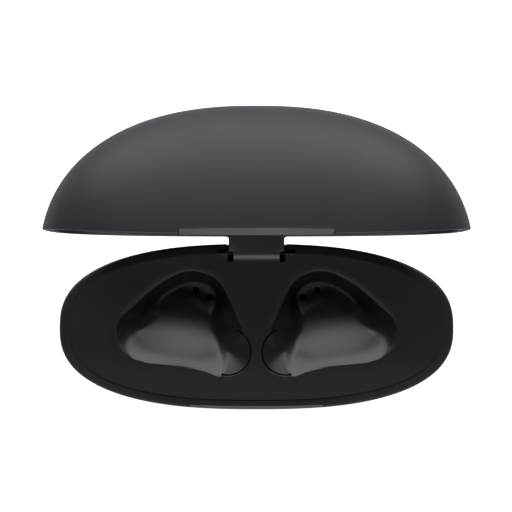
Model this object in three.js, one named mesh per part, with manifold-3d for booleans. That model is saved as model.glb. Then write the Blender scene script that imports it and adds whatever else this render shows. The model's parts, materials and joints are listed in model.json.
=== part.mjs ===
// Wireless earbuds charging case: a pebble-shaped body and a hinged lid, shown with the lid fully open.
// Millimetres, +Z up, origin at the centre of the flat base, hinge on the +Y side.
import * as THREE from 'three';
import { mergeVertices } from 'three/addons/utils/BufferGeometryUtils.js';
import Module from 'manifold-3d';

const wasm = await Module();
wasm.setup();

// ---------- driving dimensions ----------
const HALF_WIDTH = 31.0;          // pebble half width, X
const HALF_THICKNESS = 13.08;     // pebble half thickness, Y
const SEMI_DOWN = 25.4;           // pebble height below its widest section, before the base is cut flat
const SEMI_UP = 22.8;             // pebble height above its widest section
const BASE_CUT = 3.2;             // height lost to the flat base
const PLAN_POWER = 2.51;          // superellipse power of every horizontal section
const UPPER_POWER = 2.313;        // superellipse power of the front profile above the widest section
const LOWER_POWER = 2.8;          // and below it, where the pebble is fuller
const Z_WIDEST = SEMI_DOWN - BASE_CUT;
const Z_RIM = Z_WIDEST + 4.55;    // height of the parting line at the hinge and the sides
const FRONT_DIP = 1.48;           // the parting line curves down by this much at the front
const DIP_POWER = 2.7;
const FRONT_RIM_Z = Z_RIM - FRONT_DIP;
const LID_GAP = 0.25;             // gap between the lid and the body when closed
const WALL = 1.5;                 // shell wall
const FIT = 0.3;                  // clearance between neighbouring pieces
const LID_OPEN = THREE.MathUtils.degToRad(90);
const BIG = 80;                   // reach of the cutting blocks

// Hinge at the back: a knuckle on a pin, on a neck that hangs from the lid's back wall.
const HINGE_Y = 11.5;
const HINGE_Z = Z_RIM - 2.5;
const KNUCKLE_RADIUS = 1.3;
const KNUCKLE_HALF = 3.7;         // half width of the knuckle on the pin
const NECK_HALF = 4.4;            // half width of the neck that joins the knuckle to the lid
const NECK_BOTTOM = HINGE_Z + 0.4;
const NOTCH_HALF = 4.75;          // half width of the notch in the back wall
const SLOT_HALF = 6.0;            // outer end of the slots in the deck beside the knuckle
const SLOT_FRONT = 9.45;
const KNUCKLE_ROOM = HINGE_Y - KNUCKLE_RADIUS - FIT;
const SEAT_Z = HINGE_Z - 1.65;    // bottom of the room for the hinge
const EAR = [6.3, 7.5];           // the bracket's ears, from the middle
const EAR_ROOM = 7.9;
const EAR_ROOM_TOP = HINGE_Z + 1.5;
const EAR_TOP = HINGE_Z + 1.1;
const PIN_RADIUS = 0.4;
const PIN_HALF = 7.7;
const PLATE_Z = HINGE_Z - 3.0;    // underside of the bracket's plate
const PLATE = 0.7;
const SCREW_X = 1.8;
const SCREW_Y = 7.1;
const SCREW_HOLE = 0.75;
const COIL_RADIUS = 0.72;
const WIRE_RADIUS = 0.15;

// Pits for the earbuds: a bowl with a D-shaped pocket beside it, cut straight along a ridge.
const BOWL_DEPTH = 10.5;
const BOWL_CENTRE = [12.2, 0.4];
const BOWL_OUTLINE = [
  [21.6, -0.7], [20.8, 1.4], [18.1, 3.9], [15.9, 5.8], [13.6, 7.3], [11.6, 8.3], [9.4, 8.5],
  [7.2, 7.9], [5.6, 6.5], [4.4, 4.4], [3.2, 1.6], [2.2, -0.9], [2.3, -3.6], [3.6, -6.2],
  [5.6, -7.7], [8.3, -6.9], [12.0, -6.1], [15.9, -5.7], [18.8, -5.1], [20.9, -3.2],
];
const POCKET_CENTRE = [4.5, -3.9];
const POCKET_RADIUS = 3.75;
const POCKET_DEPTH = 6.0;
const RIDGE_OFFSET = 1.56;        // the ridge runs this far from the pocket's centre
const RIDGE_NORMAL = [-0.8, -0.6];
const PIT_WALL = 0.9;
const DECK = 1.3;                 // thickness of the tray's deck

// Two sprung contacts in the back of each bowl's floor.
const CONTACT_DEPTH = 7.7;
const CONTACT_FLOOR = Z_RIM - CONTACT_DEPTH;
const CONTACTS = [['outer', 9.9, 5.7], ['inner', 7.6, 4.6]];
const CONTACT_BOARD_TOP = 15.15;
const BARREL = [0.55, 0.75];      // radii of a contact's barrel
const PLUNGER_RADIUS = 0.4;

const THUMB_HALF = 10.4;          // half length of the thumb chamfers
const PORT_Z = 5.7;
const PORT = [4.8, 1.9];          // half width and half height of the port's opening
const PORT_SHELL = [4.47, 1.58];
const PORT_BACK = 10.4;
const PORT_FRONT = 3.4;
const TONGUE = [3.35, 0.35];
const BUTTON_Z = 13;
const BUTTON_RADIUS = 2.0;
const BUTTON_SEAT = 9.35;
const LED_Z = 17;
const LED_RADIUS = 0.6;
const BOARD_TOP = 4.0;
const BOARD_THICK = 0.8;
const CELL = { halfX: 15, y: [-7.0, 5.1], z: [8.1, 14.0] };
const SIDES = [[-1, 'left'], [1, 'right']];

// ---------- materials ----------
const shade = (color, roughness, metalness = 0) => ({ color, roughness, metalness });
const PLASTIC = shade(0x242328, 0.46);
const DARK_PLASTIC = shade(0x1b1b1e, 0.55);
const STEEL = shade(0x9a9ca0, 0.3, 1);
const GOLD = shade(0xc9a24a, 0.28, 1);
const MAGNET = shade(0x8a8d92, 0.34, 1);
const BOARD = shade(0x16402c, 0.5);
const CHIP = shade(0x141416, 0.45);
const FOIL = shade(0xa9adb2, 0.38, 0.6);
const FOAM = shade(0x2c2c2e, 0.95);
const AMBER = shade(0x8f5a1c, 0.45);
const CLEAR = shade(0xdfe3e6, 0.25);

// ---------- solids ----------
function solid(geometry) {
  const bare = geometry.index ? geometry.toNonIndexed() : geometry.clone();
  bare.deleteAttribute('normal');
  bare.deleteAttribute('uv');
  const merged = mergeVertices(bare, 1e-4);
  const triVerts = Uint32Array.from(merged.index.array);
  const vertProperties = Float32Array.from(merged.attributes.position.array);
  return new wasm.Manifold(new wasm.Mesh({ numProp: 3, vertProperties, triVerts }));
}

function geometryOf(body) {
  const mesh = body.getMesh();
  const geometry = new THREE.BufferGeometry();
  geometry.setAttribute('position', new THREE.BufferAttribute(mesh.vertProperties, 3));
  geometry.setIndex(new THREE.BufferAttribute(mesh.triVerts, 1));
  geometry.computeVertexNormals();
  return geometry;
}

// Box between two corners.
function box(x0, x1, y0, y1, z0, z1) {
  const geometry = new THREE.BoxGeometry(x1 - x0, y1 - y0, z1 - z0);
  return geometry.translate((x0 + x1) / 2, (y0 + y1) / 2, (z0 + z1) / 2);
}

const signedPower = (value, power) => Math.sign(value) * Math.abs(value) ** power;

// Closed skin through equal rings of points, with a pole beyond each end. The rings turn anticlockwise
// seen from above and rise, or `flip` is set.
function skin(rings, firstPole, lastPole, flip = false) {
  const positions = [];
  const face = (a, b, c) => positions.push(...(flip ? [a, c, b] : [a, b, c]).flat());
  const around = rings[0].length;
  for (let i = 0; i < around; i += 1) {
    const j = (i + 1) % around;
    face(firstPole, rings[0][j], rings[0][i]);
    face(lastPole, rings.at(-1)[i], rings.at(-1)[j]);
    for (let r = 0; r + 1 < rings.length; r += 1) {
      face(rings[r][i], rings[r][j], rings[r + 1][j]);
      face(rings[r][i], rings[r + 1][j], rings[r + 1][i]);
    }
  }
  const geometry = new THREE.BufferGeometry();
  geometry.setAttribute('position', new THREE.Float32BufferAttribute(positions, 3));
  return geometry;
}

// Pebble: every horizontal section is a superellipse, and so is the profile. `inset` shrinks it.
function pebble(inset, around = 48, rows = 9) {
  const rings = [];
  for (let row = -rows + 1; row < rows; row += 1) {
    const lift = (row / rows) * (Math.PI / 2);
    const power = row < 0 ? LOWER_POWER : UPPER_POWER;
    const spread = Math.cos(lift) ** (2 / power);
    const semi = (row < 0 ? SEMI_DOWN : SEMI_UP) - inset;
    const z = Z_WIDEST + semi * signedPower(Math.sin(lift), 2 / power);
    rings.push(Array.from({ length: around }, (_, i) => {
      const turn = (i / around) * 2 * Math.PI;
      return [
        (HALF_WIDTH - inset) * spread * signedPower(Math.cos(turn), 2 / PLAN_POWER),
        (HALF_THICKNESS - inset) * spread * signedPower(Math.sin(turn), 2 / PLAN_POWER),
        z,
      ];
    }));
  }
  const bottom = [0, 0, Z_WIDEST - SEMI_DOWN + inset];
  const top = [0, 0, Z_WIDEST + SEMI_UP - inset];
  return skin(rings, bottom, top);
}

// Extrudes a closed Y-Z outline along X, between x0 and x1.
function alongX(outline, x0, x1) {
  const shape = new THREE.Shape(outline.map(([y, z]) => new THREE.Vector2(y, z)));
  const geometry = new THREE.ExtrudeGeometry(shape, { depth: x1 - x0, bevelEnabled: false });
  geometry.rotateX(Math.PI / 2).rotateZ(Math.PI / 2);
  return geometry.translate(x0, 0, 0);
}

// Extrudes a closed X-Y outline along Z, between z0 and z1.
function alongZ(shape, z0, z1, curveSegments = 6) {
  const geometry = new THREE.ExtrudeGeometry(shape, { depth: z1 - z0, bevelEnabled: false, curveSegments });
  return geometry.translate(0, 0, z0);
}

function roundedRectangle(halfX, halfY, radius) {
  const shape = new THREE.Shape();
  const corners = [[1, 1, 0], [-1, 1, 1], [-1, -1, 2], [1, -1, 3]];
  for (const [sx, sy, quarter] of corners) {
    const start = quarter * (Math.PI / 2);
    shape.absarc(sx * (halfX - radius), sy * (halfY - radius), radius, start, start + Math.PI / 2, false);
  }
  return shape;
}

// Upright cylinder between two heights.
function post(x, y, radius, z0, z1, sides = 16) {
  const geometry = new THREE.CylinderGeometry(radius, radius, z1 - z0, sides);
  return geometry.rotateX(Math.PI / 2).translate(x, y, (z0 + z1) / 2);
}

// Level cylinder along X or Y.
function rod(axis, radius, from, to, at, sides = 16) {
  const geometry = new THREE.CylinderGeometry(radius, radius, to - from, sides);
  const middle = (from + to) / 2;
  if (axis === 'x') return geometry.rotateZ(Math.PI / 2).translate(middle, at[0], at[1]);
  return geometry.translate(at[0], middle, at[1]);
}

// Solid of revolution about Z: the profile lists radius and height from its foot point.
function turned(profile, x, y, z) {
  const geometry = new THREE.LatheGeometry(profile.map(([r, h]) => new THREE.Vector2(r, h)), 12);
  return geometry.rotateX(Math.PI / 2).translate(x, y, z);
}

// The same stretch of X on either side of the middle plane, lowest end first.
const span = (side, near, far) => (side > 0 ? [near, far] : [-far, -near]);

// ---------- the parting surface ----------
const dip = (y) => FRONT_DIP * (Math.max(0, -y) / HALF_THICKNESS) ** DIP_POWER;

// Outline of everything below the parting surface, or above it, raised by `lift`.
function partingOutline(side, lift) {
  const outline = [];
  const steps = 9;
  for (let i = 0; i <= steps; i += 1) {
    const y = -16 + (16 * i) / steps;
    outline.push([y, Z_RIM - dip(y) + lift]);
  }
  outline.push([BIG, Z_RIM + lift], [BIG, side * BIG], [-16, side * BIG]);
  return outline;
}
const below = (lift = 0) => {
  const outline = partingOutline(-1, lift).map(([y, z]) => [y, Math.max(z, 0)]);
  return solid(alongX(outline.reverse(), -BIG, BIG));
};
const above = (lift = 0) => solid(alongX(partingOutline(1, lift), -BIG, BIG));

// ---------- pits for the earbuds ----------
// Bowl that narrows with depth; `grow` thickens it for the wall around the hollow.
function bowl(side, grow, steps = 36, layers = 7) {
  const outline = BOWL_OUTLINE.map(([x, y]) => new THREE.Vector3(x - BOWL_CENTRE[0], y - BOWL_CENTRE[1], 0));
  const rim = new THREE.CatmullRomCurve3(outline, true).getSpacedPoints(steps).slice(0, steps);
  const depth = BOWL_DEPTH + grow;
  const roof = Z_RIM + 4;
  const ring = (spread, z) => rim.map((p) => {
    const reach = spread * (1 + grow / p.length());
    return [side * (BOWL_CENTRE[0] + p.x * reach), BOWL_CENTRE[1] + p.y * reach, z];
  });
  const rings = [ring(1, roof)];
  for (let k = 0; k < layers; k += 1) {
    const fall = (k / layers) * (Math.PI / 2);
    rings.push(ring(Math.cos(fall) ** 0.8, Z_RIM - depth * Math.sin(fall) ** 1.1));
  }
  const [x, y] = [side * BOWL_CENTRE[0], BOWL_CENTRE[1]];
  return solid(skin(rings, [x, y, roof], [x, y, Z_RIM - depth], side > 0));
}

// D-shaped pocket: the part of a circle on the inner side of the ridge.
function pocket(side, grow) {
  const radius = POCKET_RADIUS + grow;
  const half = Math.acos((RIDGE_OFFSET - grow) / radius);
  const middle = Math.atan2(RIDGE_NORMAL[1], RIDGE_NORMAL[0]);
  const [x, y] = POCKET_CENTRE;
  const shape = new THREE.Shape().absarc(x, y, radius, middle - half, middle + half, false);
  const body = solid(alongZ(shape, Z_RIM - POCKET_DEPTH - grow, Z_RIM + 4, 16));
  return side > 0 ? body : body.mirror([1, 0, 0]);
}

// ---------- assembling ----------
const caseGroup = new THREE.Group();
const lidGroup = new THREE.Group();
lidGroup.position.set(0, HINGE_Y, HINGE_Z);
lidGroup.rotation.x = -LID_OPEN;
const group = new THREE.Group();
group.add(caseGroup, lidGroup);

function add(name, shape, look, parent = caseGroup) {
  const geometry = shape.isBufferGeometry ? shape : geometryOf(shape);
  const mesh = new THREE.Mesh(geometry, new THREE.MeshStandardMaterial(look));
  mesh.name = name;
  parent.add(mesh);
  return mesh;
}
// Lid pieces are drawn closed, in the case's frame, then moved to the hinge group's own frame.
function addToLid(name, body, look) {
  add(name, geometryOf(body).translate(0, -HINGE_Y, -HINGE_Z), look, lidGroup);
}

// ---------- body shell ----------
// Slanted block that cuts the thumb chamfer into a front rim edge: `tilt` turns its face about X,
// and the face passes `reach` behind the front surface at height `edgeZ`.
function thumbCut(edgeZ, tilt, reach) {
  const block = new THREE.BoxGeometry(2 * THUMB_HALF, 4, 4).translate(0, 0, 2);
  block.rotateX(THREE.MathUtils.degToRad(tilt));
  return solid(block.translate(0, -HALF_THICKNESS + reach, edgeZ));
}

// Rounded-rectangle prism that runs along Y, for the charging port.
function alongY(halfX, halfZ, radius, y0, y1) {
  const prism = alongZ(roundedRectangle(halfX, halfZ, radius), y0, y1);
  return solid(prism.rotateX(-Math.PI / 2).translate(0, 0, PORT_Z));
}

function lowerShell() {
  // the back of the rim is eased so that the lid's edge clears it as it swings
  const swingEase = thumbCut(Z_RIM, 45, 0.5).mirror([0, 1, 0]);
  const hollow = solid(pebble(WALL)).intersect(solid(box(-BIG, BIG, -BIG, BIG, WALL, BIG)));
  return solid(pebble(0)).intersect(below())
    .subtract(hollow)
    .subtract(solid(box(-NOTCH_HALF, NOTCH_HALF, SLOT_FRONT, BIG, SEAT_Z, BIG)))
    .subtract(solid(box(-SLOT_HALF, SLOT_HALF, SLOT_FRONT, 12.1, SEAT_Z, BIG)))
    .subtract(solid(box(-EAR_ROOM, EAR_ROOM, SLOT_FRONT, 12.55, SEAT_Z, EAR_ROOM_TOP)))
    .subtract(alongY(...PORT, 1.85, 5, 14))
    .subtract(solid(rod('y', BUTTON_RADIUS + FIT, 6, 16, [0, BUTTON_Z], 24)))
    .subtract(solid(rod('y', LED_RADIUS + 0.25, -16, -8, [0, LED_Z], 12)))
    .subtract(thumbCut(FRONT_RIM_Z, 50, 0.6))
    .subtract(swingEase);
}
add('lower_shell', lowerShell(), PLASTIC);

// ---------- tray ----------
const PINS = SIDES.flatMap(([side, word]) => CONTACTS.map(([which, x, y]) => (
  { name: `${word}_${which}`, x: side * x, y }
)));

function tray() {
  let body = solid(pebble(WALL + FIT)).intersect(below())
    .intersect(solid(box(-BIG, BIG, -BIG, BIG, FRONT_RIM_Z - DECK, BIG)));
  for (const [side] of SIDES) {
    body = body.add(bowl(side, PIT_WALL).intersect(below(-0.5)));
    body = body.add(pocket(side, PIT_WALL).intersect(below(-0.5)));
  }
  for (const [side] of SIDES) body = body.subtract(bowl(side, 0)).subtract(pocket(side, 0));
  for (const { x, y } of PINS) {
    body = body.subtract(solid(post(x, y, BARREL[1] + 0.25, 10, CONTACT_FLOOR + 1, 12)));
  }
  const knuckleRoom = solid(box(-NECK_HALF, NECK_HALF, KNUCKLE_ROOM, BIG, 10, BIG));
  const earRoom = solid(box(-EAR_ROOM, EAR_ROOM, SLOT_FRONT, BIG, 10, EAR_ROOM_TOP));
  body = body.subtract(knuckleRoom).subtract(earRoom);
  for (const [side] of SIDES) {
    body = body.subtract(solid(box(...span(side, KNUCKLE_HALF + 0.2, SLOT_HALF), SLOT_FRONT, BIG, 10, BIG)));
  }
  return body;
}
add('earbud_tray', tray(), PLASTIC);

// ---------- charging port ----------
const portShell = alongY(...PORT_SHELL, 1.5, PORT_FRONT, PORT_BACK);
const portHollow = alongY(PORT_SHELL[0] - FIT, PORT_SHELL[1] - FIT, 1.2, PORT_FRONT + 0.5, PORT_BACK + 2);
add('usb_c_shell', portShell.subtract(portHollow), STEEL);
const tongueTop = PORT_Z + TONGUE[1];
add('usb_c_tongue', box(-TONGUE[0], TONGUE[0], PORT_FRONT + 0.6, 9.2, PORT_Z - TONGUE[1], tongueTop), CHIP);

// ---------- main board ----------
const CHIP_BOTTOM = BOARD_TOP + 0.05;
const CHIP_TOP = BOARD_TOP + 0.9;
add('main_board', box(-11, 11, -5.2, 5.6, BOARD_TOP - BOARD_THICK, BOARD_TOP), BOARD);
add('charger_chip', box(-10, -7, -0.9, 2.1, CHIP_BOTTOM, CHIP_TOP), CHIP);
add('controller_chip', box(6.6, 10, -0.9, 2.5, CHIP_BOTTOM, CHIP_TOP), CHIP);

// ---------- battery and the frame that holds it ----------
const cellShape = roundedRectangle(CELL.halfX, (CELL.y[1] - CELL.y[0]) / 2, 1.0);
add('battery_cell', alongZ(cellShape, ...CELL.z).translate(0, (CELL.y[0] + CELL.y[1]) / 2, 0), FOIL);
add('battery_pad', box(-12, 12, -0.6, 4.6, CELL.z[1] + 0.1, CELL.z[1] + 0.6), FOAM);

// Open box round the cell, with two screw posts behind it for the hinge bracket.
function innerFrame() {
  const wall = 0.65;
  const postHalf = 4.0;
  const stepTop = PLATE_Z - FIT - 4.05;
  const [x, y0, y1] = [CELL.halfX + FIT, CELL.y[0] - FIT, CELL.y[1] + FIT];
  const [z0, z1] = [CELL.z[0] - 0.1, CELL.z[1] - 0.1];
  let frame = solid(box(-x - wall, x + wall, y0 - wall, y1 + wall, z0 - wall, z1))
    .subtract(solid(box(-x, x, y0, y1, z0, z1 + 1)))
    .add(solid(box(-postHalf, postHalf, y1, y1 + wall, z1 - 1, stepTop)))
    .add(solid(box(-postHalf, postHalf, y1, SCREW_Y + 1.2, stepTop - 0.8, stepTop)))
    .add(solid(box(-1.9, 1.9, y1, 8.05, z0 + 3.2, z1)));
  for (const [side] of SIDES) {
    const x0 = side * SCREW_X;
    frame = frame.add(solid(post(x0, SCREW_Y, 1.25, stepTop - 0.6, PLATE_Z - FIT)));
    frame = frame.subtract(solid(post(x0, SCREW_Y, SCREW_HOLE, PLATE_Z - 3.2, PLATE_Z, 12)));
  }
  return frame.intersect(solid(pebble(WALL + FIT + 0.1)));
}
add('inner_frame', innerFrame(), DARK_PLASTIC);

// ---------- hinge ----------
function hingeBracket() {
  let bracket = solid(box(-3.2, 3.2, 5.7, 9.9, PLATE_Z, PLATE_Z + PLATE));
  bracket = bracket.add(solid(box(-EAR[1], EAR[1], 9.1, 11.3, PLATE_Z, PLATE_Z + PLATE)));
  for (const [side] of SIDES) {
    const at = span(side, ...EAR);
    bracket = bracket.add(solid(box(...at, 10.2, 11.3, PLATE_Z, HINGE_Z)));
    bracket = bracket.add(solid(box(...at, 10.2, 12.3, HINGE_Z - 1.1, EAR_TOP)));
    const screwHole = post(side * SCREW_X, SCREW_Y, SCREW_HOLE, PLATE_Z - 1, PLATE_Z + 2, 12);
    bracket = bracket.subtract(solid(screwHole));
  }
  return bracket.subtract(solid(rod('x', PIN_RADIUS + 0.15, -9, 9, [HINGE_Y, HINGE_Z])));
}
add('hinge_bracket', hingeBracket(), STEEL);
add('hinge_pin', rod('x', PIN_RADIUS, -PIN_HALF, PIN_HALF, [HINGE_Y, HINGE_Z]), STEEL);

function torsionSpring(side) {
  const turns = 3;
  const steps = 10 * turns;
  const points = Array.from({ length: steps + 1 }, (_, i) => {
    const angle = (i / 10) * 2 * Math.PI;
    const y = HINGE_Y + COIL_RADIUS * Math.cos(angle);
    const z = HINGE_Z + COIL_RADIUS * Math.sin(angle);
    return new THREE.Vector3(side * (4.9 + i / steps), y, z);
  });
  const wire = new THREE.Shape().absarc(0, 0, WIRE_RADIUS, 0, 2 * Math.PI, false);
  const extrudePath = new THREE.CatmullRomCurve3(points);
  return new THREE.ExtrudeGeometry(wire, { steps: 12 * turns, curveSegments: 3, extrudePath });
}

function screw(x, y, top) {
  const profile = [[0, -3.0], [0.5, -3.0], [0.5, 0], [1.0, 0], [1.0, 0.45], [0, 0.45]];
  return turned(profile, x, y, top);
}

for (const [side, word] of SIDES) {
  add(`hinge_spring_${word}`, torsionSpring(side), STEEL);
  add(`bracket_screw_${word}`, screw(side * SCREW_X, SCREW_Y, PLATE_Z + PLATE + 0.2), STEEL);
}

// ---------- charging contacts ----------
for (const [side, word] of SIDES) {
  const board = box(...span(side, 5.9, 11.8), 3.4, 7.4, CONTACT_BOARD_TOP - 0.5, CONTACT_BOARD_TOP);
  add(`contact_board_${word}`, board, BOARD);
}
for (const { name, x, y } of PINS) {
  const bottom = CONTACT_BOARD_TOP + 0.1;
  const hollow = solid(post(x, y, BARREL[0], bottom + 0.4, CONTACT_FLOOR + 1, 12));
  const barrel = solid(post(x, y, BARREL[1], bottom, CONTACT_FLOOR - 0.3, 12)).subtract(hollow);
  add(`pogo_barrel_${name}`, barrel, GOLD);
  const tip = [[0.24, 0.75], [0, 0.8]];
  const profile = [[0, -2.4], [PLUNGER_RADIUS, -2.4], [PLUNGER_RADIUS, 0.45], ...tip];
  add(`pogo_plunger_${name}`, turned(profile, x, y, CONTACT_FLOOR), GOLD);
}

// ---------- status light and lid sensor ----------
add('sensor_board', box(-11.5, 11.5, -9.85, -9.25, 13.2, 21.5), BOARD);
add('led_chip', box(-0.9, 0.9, -10.6, -9.9, LED_Z - 0.6, LED_Z + 0.6), CLEAR);
const pipe = solid(rod('y', LED_RADIUS, -14, -10.75, [0, LED_Z], 12)).intersect(solid(pebble(0.02)));
add('led_light_pipe', pipe, CLEAR);
add('hall_sensor', box(2.4, 5.2, -10.7, -9.9, 19.6, 21.0), CHIP);

// Flat cable from the main board up to the sensor board, as points of its route in Y and Z.
const FLEX_ROUTE = [[-3.4, 4.2], [-5.2, 4.6], [-7.4, 6.2], [-8.5, 8.4], [-8.6, 11], [-8.85, 13.4], [-9.0, 16]];
function sensorFlex() {
  const steps = 14;
  const route = new THREE.CatmullRomCurve3(FLEX_ROUTE.map(([y, z]) => new THREE.Vector3(y, z, 0)));
  const points = route.getSpacedPoints(steps);
  const offset = (point, i, distance) => {
    const tangent = route.getTangentAt(i / steps);
    return [point.x - tangent.y * distance, point.y + tangent.x * distance];
  };
  const upper = points.map((p, i) => offset(p, i, 0.1));
  const lower = points.map((p, i) => offset(p, i, -0.1)).reverse();
  return alongX([...upper, ...lower], 9.6, 11.4);
}
add('sensor_flex', solid(sensorFlex()), AMBER);

// ---------- magnets ----------
const BUD_MAGNET_TOP = Z_RIM - BOWL_DEPTH - PIT_WALL - 0.15;
for (const [side, word] of SIDES) {
  add(`bud_magnet_${word}`, post(side * 18.1, -0.6, 1.7, BUD_MAGNET_TOP - 1.5, BUD_MAGNET_TOP), MAGNET);
  add(`body_magnet_${word}`, box(...span(side, 24.0, 26.0), -2.5, 2.5, Z_RIM - 7, Z_RIM - 3.1), MAGNET);
}

// ---------- pairing button ----------
const buttonAt = [0, BUTTON_Z];
const cap = solid(rod('y', BUTTON_RADIUS, BUTTON_SEAT, 16, buttonAt, 24)).intersect(solid(pebble(-0.1)));
const flange = solid(rod('y', BUTTON_RADIUS + 0.6, BUTTON_SEAT, BUTTON_SEAT + 0.5, buttonAt, 24));
add('pairing_button', cap.add(flange), PLASTIC);
add('button_switch', box(-1.7, 1.7, 8.2, 8.8, BUTTON_Z - 1.7, BUTTON_Z + 1.7), CHIP);

// ---------- lid ----------
function lidShell() {
  const room = HINGE_Y - KNUCKLE_RADIUS;
  const neck = solid(box(-NECK_HALF, NECK_HALF, room, BIG, NECK_BOTTOM, Z_RIM + 2));
  const knuckle = solid(rod('x', KNUCKLE_RADIUS, -KNUCKLE_HALF, KNUCKLE_HALF, [HINGE_Y, HINGE_Z], 24));
  const web = solid(box(-KNUCKLE_HALF, KNUCKLE_HALF, room, HINGE_Y + KNUCKLE_RADIUS, HINGE_Z, HINGE_Z + 1));
  return solid(pebble(0)).intersect(above(LID_GAP))
    .subtract(solid(pebble(WALL)))
    .add(neck.add(web).add(knuckle).intersect(solid(pebble(0.02))))
    .subtract(solid(rod('x', PIN_RADIUS + 0.2, -BIG, BIG, [HINGE_Y, HINGE_Z])))
    .subtract(thumbCut(FRONT_RIM_Z + LID_GAP, 119, 0.5));
}
addToLid('lid_shell', lidShell(), PLASTIC);

// Upper half of the pebble, shrunk by a different amount along each axis.
function linerPebble(insetX, insetY, insetZ) {
  const scaleX = (HALF_WIDTH - insetX) / HALF_WIDTH;
  const scaleY = (HALF_THICKNESS - insetY) / HALF_THICKNESS;
  const scaleZ = (SEMI_UP - insetZ) / SEMI_UP;
  const geometry = pebble(0, 40, 8).translate(0, 0, -Z_WIDEST);
  return solid(geometry.scale(scaleX, scaleY, scaleZ).translate(0, 0, Z_WIDEST));
}

function lidLiner() {
  const thick = 0.8;
  const edge = [0.7, 1.6];        // the flange, above the parting line
  const dome = [5.2, 3.6, 2.2];
  const flange = solid(pebble(WALL + FIT, 40, 8)).intersect(above(edge[0])).intersect(below(edge[1]));
  const armRoom = solid(box(-NECK_HALF - FIT, NECK_HALF + FIT, 9.8, BIG, 20, Z_RIM + 2.4));
  return linerPebble(...dome).intersect(above(edge[0]))
    .add(flange)
    .subtract(linerPebble(...dome.map((inset) => inset + thick)))
    .subtract(armRoom);
}
addToLid('lid_liner', lidLiner(), DARK_PLASTIC);

for (const [side, word] of SIDES) {
  const magnet = box(...span(side, 25.3, 26.8), -2.5, 2.5, Z_RIM + 2.1, Z_RIM + 5);
  addToLid(`lid_magnet_${word}`, solid(magnet), MAGNET);
}
addToLid('hall_magnet', solid(box(2.2, 5.4, -10.8, -9.6, Z_RIM + 1.5, Z_RIM + 3.5)), MAGNET);

export default group;
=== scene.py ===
import json
import math

import bmesh
import bpy
import numpy as np
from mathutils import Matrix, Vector
from mathutils.geometry import delaunay_2d_cdt

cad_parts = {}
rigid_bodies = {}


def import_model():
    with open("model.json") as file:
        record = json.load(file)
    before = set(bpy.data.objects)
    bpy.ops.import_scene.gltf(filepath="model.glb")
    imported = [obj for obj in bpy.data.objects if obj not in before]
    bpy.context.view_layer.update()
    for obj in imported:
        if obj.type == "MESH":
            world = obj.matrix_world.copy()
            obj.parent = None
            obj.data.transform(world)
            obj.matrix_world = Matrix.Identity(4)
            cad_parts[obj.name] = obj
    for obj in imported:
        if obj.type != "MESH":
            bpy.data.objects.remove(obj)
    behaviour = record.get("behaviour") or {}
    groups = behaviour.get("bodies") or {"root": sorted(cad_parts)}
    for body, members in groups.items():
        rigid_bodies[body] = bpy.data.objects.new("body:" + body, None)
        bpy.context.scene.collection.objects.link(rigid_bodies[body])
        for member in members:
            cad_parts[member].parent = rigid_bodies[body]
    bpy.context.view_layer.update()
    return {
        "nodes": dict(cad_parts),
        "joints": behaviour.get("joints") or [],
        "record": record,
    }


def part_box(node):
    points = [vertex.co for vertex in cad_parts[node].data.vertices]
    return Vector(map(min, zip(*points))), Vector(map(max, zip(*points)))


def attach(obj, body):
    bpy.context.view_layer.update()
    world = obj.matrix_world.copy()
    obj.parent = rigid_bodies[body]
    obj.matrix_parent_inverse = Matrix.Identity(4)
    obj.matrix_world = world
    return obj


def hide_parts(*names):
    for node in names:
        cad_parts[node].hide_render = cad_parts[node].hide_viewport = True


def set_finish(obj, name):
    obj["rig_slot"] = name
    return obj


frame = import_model()
MM = 0.001


def node_box(node):
    low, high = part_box(node)
    return np.array(low) / MM, np.array(high) / MM


# ---------- sizes of the pebble, in millimetres ----------
SHELL_LOW, SHELL_HIGH = node_box("lower_shell")
HALF_WIDTH = float(SHELL_HIGH[0])
HALF_THICKNESS = float(-SHELL_LOW[1])
Z_RIM = float(SHELL_HIGH[2])
Z_WIDEST = Z_RIM - 4.55
SEMI_DOWN = 25.4
SEMI_UP = 22.8
PLAN_POWER = 2.51
UPPER_POWER = 2.313
LOWER_POWER = 2.8
FRONT_DIP = 1.48
DIP_POWER = 2.7
LID_GAP = 0.25
WALL = 1.5

HINGE = np.array(next(j for j in frame["joints"] if j["name"] == "lid_hinge")["pos_m"]) / MM
HINGE_Y, HINGE_Z = float(HINGE[1]), float(HINGE[2])


def signed_power(value, power):
    return np.sign(value) * np.abs(value) ** power


def spread(z, inset=0.0):
    """Share of the widest section that the pebble, shrunk by inset, still has at height z."""
    z = np.asarray(z, float)
    up = z >= Z_WIDEST
    semi = np.where(up, SEMI_UP, SEMI_DOWN) - inset
    power = np.where(up, UPPER_POWER, LOWER_POWER)
    share = np.clip(np.abs(z - Z_WIDEST) / semi, 0, 1)
    return (1 - share**power) ** (1 / power)


def dip(y):
    """How far the parting line curves down at depth y."""
    return FRONT_DIP * (np.maximum(0, -np.asarray(y, float)) / HALF_THICKNESS) ** DIP_POWER


def surface_y(x, z, inset=0.0):
    """Distance of the pebble's front or back surface from the middle plane."""
    wide = (HALF_WIDTH - inset) * spread(z, inset)
    deep = (HALF_THICKNESS - inset) * spread(z, inset)
    share = np.clip(np.abs(np.asarray(x, float)) / wide, 0, 1)
    return deep * (1 - share**PLAN_POWER) ** (1 / PLAN_POWER)


# ---------- mesh helpers ----------
def new_object(name, mesh, body, slot, *nodes):
    piece = bpy.data.objects.new(name, mesh)
    bpy.context.scene.collection.objects.link(piece)
    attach(piece, body)
    if nodes:
        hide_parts(*nodes)
    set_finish(piece, slot)
    return piece


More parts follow.
